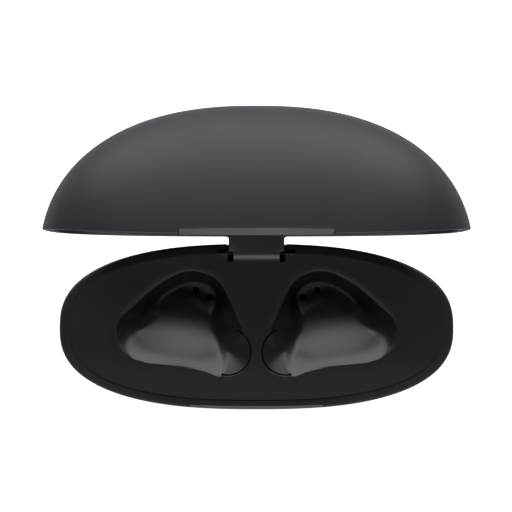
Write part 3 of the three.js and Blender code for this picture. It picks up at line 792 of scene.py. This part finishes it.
def hinge_arm():
    """Neck and knuckle of the lid, drawn closed: rounded rectangles stacked upwards."""
    front = HINGE_Y - KNUCKLE_RADIUS
    levels = []
    for turn in np.linspace(-84, 0, 12):
        height = KNUCKLE_RADIUS * math.sin(math.radians(turn))
        deep = KNUCKLE_RADIUS * math.cos(math.radians(turn))
        levels.append((HINGE_Z + height, HINGE_Y - deep, HINGE_Y + deep, KNUCKLE_HALF))
    levels.append((HINGE_Z + 0.2, front, HINGE_Y + KNUCKLE_RADIUS, KNUCKLE_HALF))
    step = HINGE_Z + 0.4
    levels.append((step - 0.12, front, HINGE_Y + KNUCKLE_RADIUS, KNUCKLE_HALF))
    levels.append((step, front, HINGE_Y + KNUCKLE_RADIUS + 0.1, NECK_HALF - 0.1))
    rim = Z_RIM + LID_GAP
    levels.append((step + 0.1, front, 99, NECK_HALF))
    for t in np.linspace(0, 1, 8):
        z = rim - NECK_FILLET + NECK_FILLET * t
        wide = NECK_HALF + NECK_FILLET * (1 - math.sqrt(1 - t * t)) if t < 1 else NECK_HALF + NECK_FILLET
        levels.append((z, front, 99, wide))
    levels.append((rim + 1.6, front, 99, NECK_HALF + NECK_FILLET))
    levels.append((rim + 2.0, front + 0.4, 99, NECK_HALF + NECK_FILLET))
    rings = []
    for z, near, far, half in levels:
        far_flat = min(far, float(surface_y(half, z)) - 0.02) if far > 50 else far
        ring = []
        deep, middle = (far_flat - near) / 2, (far_flat + near) / 2
        edge = min(ARM_EDGE, deep * 0.8)
        for sx, sy, turn_from in ((1, 1, 0), (-1, 1, 1), (-1, -1, 2), (1, -1, 3)):
            for k in range(5):
                turn = (turn_from + k / 4) * math.pi / 2
                ring.append([sx * (half - edge) + edge * math.cos(turn),
                             middle + sy * (deep - edge) + edge * math.sin(turn), z])
            nx, ny = {(1, 1): (-1, 1), (-1, 1): (-1, -1), (-1, -1): (1, -1), (1, -1): (1, 1)}[(sx, sy)]
            for k in range(1, 6):
                t = k / 6
                reach_x = half - (edge if sy == ny else 0)
                reach_y = deep - (edge if sx == nx else 0)
                ax, ay = sx * reach_x, middle + sy * reach_y
                bx, by = nx * reach_x, middle + ny * reach_y
                ring.append([ax + (bx - ax) * t, ay + (by - ay) * t, z])
        if far > 50:
            for p in ring:
                if p[1] > middle + deep - 0.01:
                    p[1] = float(surface_y(p[0], z)) - 0.02
        rings.append(ring)
    return loft("arm", rings)


def lid():
    mesh = join_solids(lid_shell(), hinge_arm(), "UNION")
    bore = lathe("c", [(0.6, -8), (0.6, 8)], "x", (0, HINGE_Y, HINGE_Z), 32)
    mesh = join_solids(mesh, bore, "DIFFERENCE")
    return smooth(to_open(mesh))


lid_piece = new_object("lid", lid(), "lid", "soft_touch_plastic", "lid_shell")


def liner():
    """Inner lining of the lid: a flange behind the rim and a domed hollow over the earbuds."""
    u, v = plan_directions(360, [])
    flange_inset = WALL + 0.12
    rings = []

    def scaled(z, dx, dy, dz):
        semi = SEMI_UP - dz
        share = np.clip((np.asarray(z, float) - Z_WIDEST) / semi, 0, 1)
        wide = (1 - share**UPPER_POWER) ** (1 / UPPER_POWER)
        z = np.broadcast_to(z, u.shape)
        return np.stack([(HALF_WIDTH - dx) * wide * u, (HALF_THICKNESS - dy) * wide * v, z], 1)

    def lip_at(y):
        return Z_RIM + 0.75 - dip(y)

    lip = lip_at(HALF_THICKNESS * v)
    low_outside = lip_at(scaled(lip, 5.2, 3.6, 2.2)[:, 1]) + 0.9
    low_inside = lip_at(scaled(lip, 5.6, 4.0, 3.0)[:, 1])
    # outer skin from the top down, then the flange, then the hollow back up
    top_out = Z_WIDEST + SEMI_UP - 2.2
    for lift in np.linspace(math.radians(84), 0, 22)[:-1]:
        share = math.sin(lift) ** (2 / UPPER_POWER)
        rings.append(scaled(low_outside + (top_out - low_outside) * share, 5.2, 3.6, 2.2))
    rings.append(scaled(low_outside, 5.2, 3.6, 2.2))
    rings.append(pebble_ring(u, v, lip + 0.9, flange_inset + 0.02))
    rings.append(pebble_ring(u, v, lip + 0.1, flange_inset))
    rings.append(pebble_ring(u, v, lip, flange_inset + 0.1))
    for t in np.linspace(0, 1, 8)[1:]:
        base = pebble_ring(u, v, lip, flange_inset + 0.1)
        ring = base + (scaled(low_inside, 5.6, 4.0, 3.0) - base) * t
        ring[:, 2] = lip_at(ring[:, 1])
        rings.append(ring)
    for turn in (30, 60, 90):
        k = math.radians(turn)
        grow = 0.5 * math.sin(k)
        rings.append(scaled(low_inside + 0.5 * (1 - math.cos(k)), 5.6 + grow, 4.0 + grow, 3.0))
    top_in = Z_WIDEST + SEMI_UP - 3.0
    for lift in np.linspace(0, math.radians(84), 24)[1:]:
        share = math.sin(lift) ** (2 / UPPER_POWER)
        low = low_inside + 0.5
        rings.append(scaled(low + (top_in - low) * share, 6.1, 4.5, 3.0))
    mesh = loft("liner_skin", rings, (0, 0, top_out), (0, 0, top_in))
    room = block("c", (-NECK_HALF - 0.75, NECK_HALF + 0.75), (9.8, 20), (20, Z_RIM + 2.9))
    mesh = join_solids(mesh, room, "DIFFERENCE")
    return smooth(to_open(mesh))


liner_piece = new_object("lid_lining", liner(), "lid", "inner_plastic", "lid_liner")

# ---------- hinge hardware ----------
PIN_HIGH = node_box("hinge_pin")[1]
pin_half = float(PIN_HIGH[0])
pin_profile = [(0.3, -pin_half), (0.4, -pin_half + 0.1), (0.4, pin_half - 0.1), (0.3, pin_half)]
new_object(
    "pin", smooth(lathe("pin_skin", pin_profile, "x", (0, HINGE_Y, HINGE_Z), 32)),
    "case", "blackened_steel", "hinge_pin",
)


def tube(name, path, radius, sides=10):
    path = np.asarray(path, float)
    ahead = np.gradient(path, axis=0)
    ahead /= np.linalg.norm(ahead, axis=1, keepdims=True)
    side = np.cross(ahead, [1.0, 0, 0])
    side /= np.linalg.norm(side, axis=1, keepdims=True)
    other = np.cross(ahead, side)
    turns = np.arange(sides) / sides * 2 * math.pi
    rings = [
        p + radius * (np.cos(turns)[:, None] * a + np.sin(turns)[:, None] * b)
        for p, a, b in zip(path, side, other)
    ]
    return smooth(loft(name, rings), 60)


for word in ("left", "right"):
    low, high = node_box(f"hinge_spring_{word}")
    turn = np.linspace(0, 3 * 2 * math.pi, 150)
    x = np.linspace(float(low[0]) + 0.16, float(high[0]) - 0.16, 150)
    coil = np.stack([x, HINGE_Y + 0.72 * np.cos(turn), HINGE_Z + 0.72 * np.sin(turn)], 1)
    new_object(f"spring_{word}", tube("coil", coil, 0.15), "case", "blackened_steel", f"hinge_spring_{word}")

# ---------- charging contacts ----------
for name in PIN_NAMES:
    low, high = node_box(f"pogo_plunger_{name}")
    x, y, _ = (low + high) / 2
    top, bottom = float(high[2]), float(low[2])
    tip = [(0.38, bottom), (0.4, bottom + 0.05), (0.4, top - 0.34), (0.37, top - 0.18),
           (0.28, top - 0.06), (0.12, top - 0.005)]
    new_object(f"contact_pin_{name}", smooth(lathe("tip", tip, "z", (x, y, 0), 32)),
               f"pogo_{name}", "dark_contact", f"pogo_plunger_{name}")
    low, high = node_box(f"pogo_barrel_{name}")
    base, rim = float(low[2]), float(high[2])
    cup = [(0.7, base), (0.75, base + 0.06), (0.75, rim - 0.08), (0.67, rim), (0.6, rim),
           (0.55, rim - 0.05), (0.55, base + 0.45), (0.5, base + 0.4)]
    new_object(f"contact_barrel_{name}", smooth(lathe("cup", cup, "z", (x, y, 0), 32)),
               "case", "dark_contact", f"pogo_barrel_{name}")

# ---------- charging port ----------
usb_low, usb_high = node_box("usb_c_shell")


def port_shell():
    y0, y1 = float(usb_low[1]), float(usb_high[1])
    rings = []
    for inset, y in ((0.1, y0), (0, y0 + 0.1), (0, y1 - 0.08), (0.05, y1 - 0.02), (0.12, y1),
                     (0.22, y1), (0.28, y1 - 0.04), (0.3, y1 - 0.1), (0.3, y0 + 0.5)):
        rings.append(rounded_ring(4.47 - inset, 1.58 - inset, 1.5 - inset * 0.9, y, PORT_Z))
    return smooth(loft("port", rings))


new_object("port_shell", port_shell(), "case", "steel", "usb_c_shell")
tongue_low, tongue_high = node_box("usb_c_tongue")


def port_tongue():
    x, y0, y1 = float(tongue_high[0]), float(tongue_low[1]), float(tongue_high[1])
    half = float(tongue_high[2] - tongue_low[2]) / 2 - 0.02
    rings = []
    for y, inset in ((y0, 0), (y1 - 0.5, 0), (y1 - 0.15, 0.08), (y1, 0.2)):
        rings.append(rounded_ring(x - inset, half - inset * 0.6, 0.15, y, PORT_Z, 4))
    return smooth(loft("tongue", rings))


new_object("port_tongue", port_tongue(), "case", "chip_black", "usb_c_tongue")


def port_contacts():
    """Twelve contact strips on each side of the tongue."""
    solids = bmesh.new()
    half = float(tongue_high[2] - tongue_low[2]) / 2
    for side in (-1, 1):
        for k in range(12):
            x = (k - 5.5) * 0.5
            strip = rounded_box("strip", (x - 0.13, x + 0.13), (tongue_high[1] - 3.2, tongue_high[1] - 0.45),
                                (PORT_Z + side * half - 0.03, PORT_Z + side * half + 0.01), 0.012, 1)
            solids.from_mesh(strip)
            bpy.data.meshes.remove(strip)
    mesh = bpy.data.meshes.new("strips")
    solids.to_mesh(mesh)
    solids.free()
    return smooth(mesh)


contacts_piece = new_object("port_contacts", port_contacts(), "case", "dark_contact")

# ---------- pairing button and status light ----------
def dished_disc(name, radius, z, side, proud, depth, edge=0.14, rim=None):
    """Round cap whose face follows the pebble's front or back surface."""
    turns = np.arange(64) / 64 * 2 * math.pi
    rings = []

    def ring(r, lift):
        x, up = r * np.cos(turns), z + r * np.sin(turns)
        return np.stack([x, side * (surface_y(x, up) + lift), up], 1)

    for r in (0.3, 0.6, 0.85):
        rings.append(ring((radius - edge) * r, proud))
    for k in range(5):
        turn = k / 4 * math.pi / 2
        rings.append(ring(radius - edge + edge * math.sin(turn), proud - edge * (1 - math.cos(turn))))
    flat = ring(radius, 0)
    if rim:
        seat = flat.copy()
        seat[:, 1] = side * rim[1]
        rings.append(seat)
        wide = np.stack([rim[0] * np.cos(turns), np.full(64, side * rim[1]), z + rim[0] * np.sin(turns)], 1)
        rings.append(wide)
        back = wide.copy()
        back[:, 1] = side * depth
        rings.append(back)
    else:
        back = flat.copy()
        back[:, 1] = side * depth
        rings.append(back)
    face = float(surface_y(0, z)) + proud
    return smooth(loft(name, rings, (0, side * face, z), (0, side * depth, z)))


button_back = float(node_box("pairing_button")[0][1])
new_object(
    "button", dished_disc("cap", 2.0, BUTTON_Z, 1, 0.06, button_back, 0.14, (2.6, button_back + 0.5)),
    "pairing_button", "soft_touch_plastic", "pairing_button",
)
pipe_back = float(node_box("led_light_pipe")[1][1])
new_object(
    "status_lens", dished_disc("lens", 0.6, LED_Z, -1, -0.03, -pipe_back, 0.08),
    "case", "clear_plastic", "led_light_pipe",
)

# ---------- screws ----------
for word in ("left", "right"):
    low, high = node_box(f"bracket_screw_{word}")
    x, y, _ = (low + high) / 2
    top, bottom = float(high[2]), float(low[2])
    profile = [(0.2, bottom), (0.45, bottom + 0.25)]
    z = bottom + 0.25
    while z < top - 0.7:
        profile += [(0.5, z + 0.1), (0.42, z + 0.25)]
        z += 0.3
    profile += [(0.45, top - 0.45), (0.95, top - 0.45), (1.0, top - 0.4), (1.0, top - 0.12),
                (0.9, top - 0.02), (0.45, top), (0.4, top - 0.02), (0.36, top - 0.25)]
    new_object(f"screw_{word}", smooth(lathe("screw", profile, "z", (x, y, 0), 32)),
               "case", "blackened_steel", f"bracket_screw_{word}")

# ---------- materials ----------
def material(name, base, rough, metal=0.0, **sockets):
    made = bpy.data.materials.new(name)
    made.use_nodes = True
    nodes, links = made.node_tree.nodes, made.node_tree.links
    shader = nodes["Principled BSDF"]
    shader.inputs["Metallic"].default_value = metal
    for key, value in sockets.items():
        shader.inputs[key.replace("_", " ")].default_value = value
    place = nodes.new("ShaderNodeTexCoord")
    return made, nodes, links, shader, place


def noise(nodes, links, place, scale, detail=3.0, stretch=None):
    """Noise in the object's own metres."""
    mapping = nodes.new("ShaderNodeMapping")
    if stretch:
        mapping.inputs["Scale"].default_value = stretch
    links.new(place.outputs["Object"], mapping.inputs["Vector"])
    texture = nodes.new("ShaderNodeTexNoise")
    texture.inputs["Scale"].default_value = scale
    texture.inputs["Detail"].default_value = detail
    links.new(mapping.outputs["Vector"], texture.inputs["Vector"])
    return texture.outputs["Fac"]


def ramp(nodes, links, value, low, high, start=0.35, end=0.65):
    band = nodes.new("ShaderNodeMapRange")
    band.inputs["From Min"].default_value = start
    band.inputs["From Max"].default_value = end
    band.inputs["To Min"].default_value = low
    band.inputs["To Max"].default_value = high
    links.new(value, band.inputs["Value"])
    return band.outputs["Result"]


def two_tone(nodes, links, value, dark, light, start=0.35, end=0.65):
    mix = nodes.new("ShaderNodeMix")
    mix.data_type = "RGBA"
    links.new(ramp(nodes, links, value, 0, 1, start, end), mix.inputs["Factor"])
    mix.inputs["A"].default_value = (*dark, 1)
    mix.inputs["B"].default_value = (*light, 1)
    return mix.outputs["Result"]


def bump(nodes, links, value, strength, distance, shader, under=None):
    node = nodes.new("ShaderNodeBump")
    node.inputs["Strength"].default_value = strength
    node.inputs["Distance"].default_value = distance
    links.new(value, node.inputs["Height"])
    if under is not None:
        links.new(under, node.inputs["Normal"])
    links.new(node.outputs["Normal"], shader.inputs["Normal"])
    return node.outputs["Normal"]


def plastic(name, colour, rough, grain=9000.0, grain_strength=0.1, wear=1.5, specular=0.5):
    """Matte moulded plastic: fine grain, faint cloudiness, edges a little lighter."""
    made, nodes, links, shader, place = material(name, colour, rough)
    shader.inputs["Specular IOR Level"].default_value = specular
    cloud = noise(nodes, links, place, 180, 4)
    fine = noise(nodes, links, place, grain, 2)
    dark = [c * 0.93 for c in colour]
    light = [c * 1.08 for c in colour]
    base = two_tone(nodes, links, cloud, dark, light)
    geometry = nodes.new("ShaderNodeNewGeometry")
    edge = ramp(nodes, links, geometry.outputs["Pointiness"], 0, 1, 0.56, 0.66)
    mix = nodes.new("ShaderNodeMix")
    mix.data_type = "RGBA"
    links.new(edge, mix.inputs["Factor"])
    links.new(base, mix.inputs["A"])
    mix.inputs["B"].default_value = (*[c * wear for c in colour], 1)
    links.new(mix.outputs["Result"], shader.inputs["Base Color"])
    smudge = noise(nodes, links, place, 60, 5)
    links.new(ramp(nodes, links, smudge, rough - 0.02, rough + 0.03), shader.inputs["Roughness"])
    bump(nodes, links, fine, grain_strength, 0.00002, shader)
    return made


def metal(name, dark, light, rough, brushed=None):
    made, nodes, links, shader, place = material(name, dark, rough, 1.0)
    streak = noise(nodes, links, place, 900, 4, brushed)
    links.new(two_tone(nodes, links, streak, dark, light), shader.inputs["Base Color"])
    links.new(ramp(nodes, links, streak, rough - 0.05, rough + 0.07), shader.inputs["Roughness"])
    bump(nodes, links, streak, 0.12, 0.00002, shader)
    return made


def board_material():
    made, nodes, links, shader, place = material("solder_mask", None, 0.35)
    tracks = nodes.new("ShaderNodeTexBrick")
    tracks.inputs["Scale"].default_value = 900
    tracks.inputs["Mortar Size"].default_value = 0.08
    tracks.inputs["Color1"].default_value = (0.010, 0.050, 0.026, 1)
    tracks.inputs["Color2"].default_value = (0.012, 0.060, 0.030, 1)
    tracks.inputs["Mortar"].default_value = (0.020, 0.095, 0.045, 1)
    links.new(place.outputs["Object"], tracks.inputs["Vector"])
    links.new(tracks.outputs["Color"], shader.inputs["Base Color"])
    links.new(ramp(nodes, links, noise(nodes, links, place, 1500, 3), 0.3, 0.45), shader.inputs["Roughness"])
    bump(nodes, links, tracks.outputs["Fac"], 0.2, 0.00004, shader)
    return made


def foil_material():
    made, nodes, links, shader, place = material("cell_foil", None, 0.35, 1.0)
    crinkle = noise(nodes, links, place, 420, 6)
    links.new(two_tone(nodes, links, crinkle, (0.40, 0.41, 0.43), (0.52, 0.53, 0.55)),
              shader.inputs["Base Color"])
    links.new(ramp(nodes, links, crinkle, 0.3, 0.46), shader.inputs["Roughness"])
    bump(nodes, links, crinkle, 0.5, 0.0001, shader)
    return made


def foam_material():
    made, nodes, links, shader, place = material("open_foam", None, 0.95)
    cells = nodes.new("ShaderNodeTexVoronoi")
    cells.inputs["Scale"].default_value = 3500
    links.new(place.outputs["Object"], cells.inputs["Vector"])
    tone = two_tone(
        nodes, links, cells.outputs["Distance"], (0.008, 0.008, 0.009), (0.035, 0.035, 0.038), 0.1, 0.6
    )
    links.new(tone, shader.inputs["Base Color"])
    shader.inputs["Roughness"].default_value = 0.95
    bump(nodes, links, cells.outputs["Distance"], 0.8, 0.00012, shader)
    return made


def clear_material():
    made, nodes, links, shader, place = material("frosted_lens", None, 0.3, IOR=1.49)
    haze = noise(nodes, links, place, 2500, 3)
    links.new(two_tone(nodes, links, haze, (0.62, 0.64, 0.66), (0.78, 0.80, 0.82)),
              shader.inputs["Base Color"])
    links.new(ramp(nodes, links, haze, 0.25, 0.4), shader.inputs["Roughness"])
    shader.inputs["Transmission Weight"].default_value = 0.35
    shader.inputs["Subsurface Weight"].default_value = 0.1
    return made


def film_material():
    made, nodes, links, shader, place = material("polyimide_film", None, 0.3)
    lines = nodes.new("ShaderNodeTexWave")
    lines.bands_direction = "X"
    lines.inputs["Scale"].default_value = 700
    links.new(place.outputs["Object"], lines.inputs["Vector"])
    links.new(two_tone(nodes, links, lines.outputs["Fac"], (0.24, 0.10, 0.025), (0.36, 0.16, 0.04)),
              shader.inputs["Base Color"])
    links.new(ramp(nodes, links, lines.outputs["Fac"], 0.25, 0.4), shader.inputs["Roughness"])
    bump(nodes, links, lines.outputs["Fac"], 0.3, 0.00002, shader)
    return made


BODY_COLOUR = (0.0145, 0.0140, 0.0185)
# the tray colour is painted shade: the shell's plastic made darker, standing in for the shade the open lid
# casts on the deck, because the pit lights pass through the lid
TRAY_SHADED_COLOUR = (0.0075, 0.0073, 0.0104)
looks = {
    "soft_touch_plastic": plastic("soft_touch", BODY_COLOUR, 0.46),
    "inner_plastic": plastic("inner_matte", (0.0105, 0.0105, 0.0125), 0.5, 6000, 0.2),
    "steel": metal("spring_steel", (0.36, 0.37, 0.39), (0.47, 0.48, 0.50), 0.3, (1, 12, 12)),
    "chip_black": plastic("moulded_black", (0.011, 0.011, 0.012), 0.42, 12000, 0.3, 1.2),
    "circuit_board": board_material(),
    "cell_foil": foil_material(),
    "foam": foam_material(),
    "blackened_steel": metal("black_oxide", (0.016, 0.016, 0.018), (0.030, 0.030, 0.033), 0.4, (1, 12, 12)),
    "dark_contact": metal("black_nickel", (0.030, 0.028, 0.027), (0.050, 0.047, 0.045), 0.36),
    "clear_plastic": clear_material(),
    "flex_film": film_material(),
    "magnet": metal("nickel_plating", (0.42, 0.42, 0.43), (0.52, 0.52, 0.53), 0.28),
}
gold_look = metal("gold_plating", (0.70, 0.48, 0.18), (0.83, 0.60, 0.26), 0.25)
# painted shade: a darker copy of the soft-touch plastic, used for the tray
tray_shaded_look = plastic("soft_touch_tray_shaded", TRAY_SHADED_COLOUR, 0.385)
slots = {row["node"]: row["material_slot"] for row in frame["record"]["subparts"]}
for node, item in frame["nodes"].items():
    item.data.materials.clear()
    item.data.materials.append(looks[slots[node]])
    if not item.hide_render:
        soften = item.modifiers.new("soft_edges", "BEVEL")
        soften.width = 0.08 * MM
        soften.segments = 2
        soften.limit_method = "ANGLE"
        soften.angle_limit = math.radians(40)
for item in bpy.data.objects:
    if item.type == "MESH" and "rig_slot" in item:
        item.data.materials.clear()
        item.data.materials.append(looks[item["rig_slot"]])
contacts_piece.data.materials[0] = gold_look
# the tray gets the darker, painted-shade copy of the plastic
tray_piece.data.materials[0] = tray_shaded_look

# ---------- floor, light and camera ----------
def floor_material():
    made, nodes, links, shader, place = material("studio_floor", None, 0.9)
    tone = noise(nodes, links, place, 6, 2)
    links.new(two_tone(nodes, links, tone, (0.90, 0.90, 0.90), (0.93, 0.93, 0.93)),
              shader.inputs["Base Color"])
    shader.inputs["Roughness"].default_value = 0.9
    shader.inputs["Emission Color"].default_value = (1, 1, 1, 1)
    shader.inputs["Emission Strength"].default_value = 0.97
    return made


floor_size = 40000
floor_mesh = bpy.data.meshes.new("floor")
floor_corners = ((-1, -1), (1, -1), (1, 1), (-1, 1))
floor_mesh.from_pydata(
    [(x * floor_size * MM, y * floor_size * MM, 0) for x, y in floor_corners], [], [(0, 1, 2, 3)]
)
floor_mesh.materials.append(floor_material())
floor = bpy.data.objects.new("floor", floor_mesh)
bpy.context.scene.collection.objects.link(floor)


LIGHT_COLOUR = (0.97, 0.96, 1.0)


def softbox(name, place, target, width, height, radiance):
    """Rectangular light with a given radiance, aimed at a point; places in millimetres."""
    light = bpy.data.lights.new(name, "AREA")
    light.shape = "RECTANGLE"
    light.size, light.size_y = width * MM, height * MM
    light.energy = radiance * math.pi * light.size * light.size_y
    light.color = LIGHT_COLOUR
    item = bpy.data.objects.new(name, light)
    bpy.context.scene.collection.objects.link(item)
    item.location = Vector(place) * MM
    aim = Vector(target) * MM - item.location
    item.rotation_euler = aim.to_track_quat("-Z", "Y").to_euler()
    return item


def reach_only(light, receivers, passed=()):
    """The light falls on the receivers only, and the passed objects cast no shadow in it."""
    lit = bpy.data.collections.new(light.name + "_lit")
    for item in receivers:
        lit.objects.link(item)
    light.light_linking.receiver_collection = lit
    if passed:
        clear = bpy.data.collections.new(light.name + "_clear")
        for item in passed:
            clear.objects.link(item)
        for link in clear.collection_objects:
            link.light_linking.link_state = "EXCLUDE"
        light.light_linking.blocker_collection = clear


LID_PARTS = [lid_piece, liner_piece]
BODY_PARTS = [shell, tray_piece]
NOT_LID = [item for item in bpy.data.objects if item.type == "MESH" and item not in LID_PARTS]
softbox("back_light", (0, 520, 230), (0, 20, 30), 1300, 460, 2.66)
softbox("high_light", (0, 330, 470), (0, 0, 25), 900, 260, 0.88)
reach_only(softbox("pit_light", (0, 520, 230), (0, 20, 30), 1300, 460, 3.7), [tray_piece], LID_PARTS)
reach_only(softbox("pit_high", (0, 420, 400), (0, 0, 25), 900, 260, 0.8), [tray_piece], LID_PARTS)
reach_only(softbox("tray_front", (0, -480, 230), (0, 0, 25), 900, 240, 1.2), [tray_piece])
reach_only(softbox("deck_light", (0, -240, 490), (0, 0, 25), 900, 240, 0.5), NOT_LID)
reach_only(softbox("shell_front", (0, -420, 300), (0, 0, 25), 900, 240, 1.3), [shell])
reach_only(softbox("lid_front", (0, -420, 380), (0, 0, 25), 900, 480, 3.0), LID_PARTS, BODY_PARTS)
reach_only(softbox("lid_zenith", (0, 60, 620), (0, 0, 25), 700, 300, 0.2), LID_PARTS, BODY_PARTS)
softbox("left_light", (-650, 0, 260), (0, 0, 25), 500, 300, 0.16)
softbox("right_light", (650, 0, 260), (0, 0, 25), 500, 300, 0.16)
# the floor glows white round the case, without a bright rim of it on the lid
reach_only(floor, NOT_LID)

world = bpy.data.worlds.new("studio")
world.use_nodes = True
dim = world.node_tree.nodes["Background"]
dim.inputs["Color"].default_value = (0.01, 0.01, 0.01, 1)
# the sky seen directly is as white as the floor, and it lights nothing
bright = world.node_tree.nodes.new("ShaderNodeBackground")
bright.inputs["Color"].default_value = (1, 1, 1, 1)
seen = world.node_tree.nodes.new("ShaderNodeLightPath")
either = world.node_tree.nodes.new("ShaderNodeMixShader")
world.node_tree.links.new(seen.outputs["Is Camera Ray"], either.inputs["Fac"])
world.node_tree.links.new(dim.outputs["Background"], either.inputs[1])
world.node_tree.links.new(bright.outputs["Background"], either.inputs[2])
world.node_tree.links.new(either.outputs["Shader"], world.node_tree.nodes["World Output"].inputs["Surface"])
bpy.context.scene.world = world
bpy.context.scene.view_settings.view_transform = "Standard"

CAMERA_UP = 124.7
camera_data = bpy.data.cameras.new("camera")
camera_data.lens = 56.25
camera_data.sensor_width = 36
camera_data.clip_start = 0.005
camera_data.clip_end = 20
camera = bpy.data.objects.new("camera", camera_data)
camera.location = Vector((-0.08, 5.8, Z_RIM + CAMERA_UP)) * MM
camera.rotation_euler = (math.radians(2.4), 0, 0)
bpy.context.scene.collection.objects.link(camera)
bpy.context.scene.camera = camera
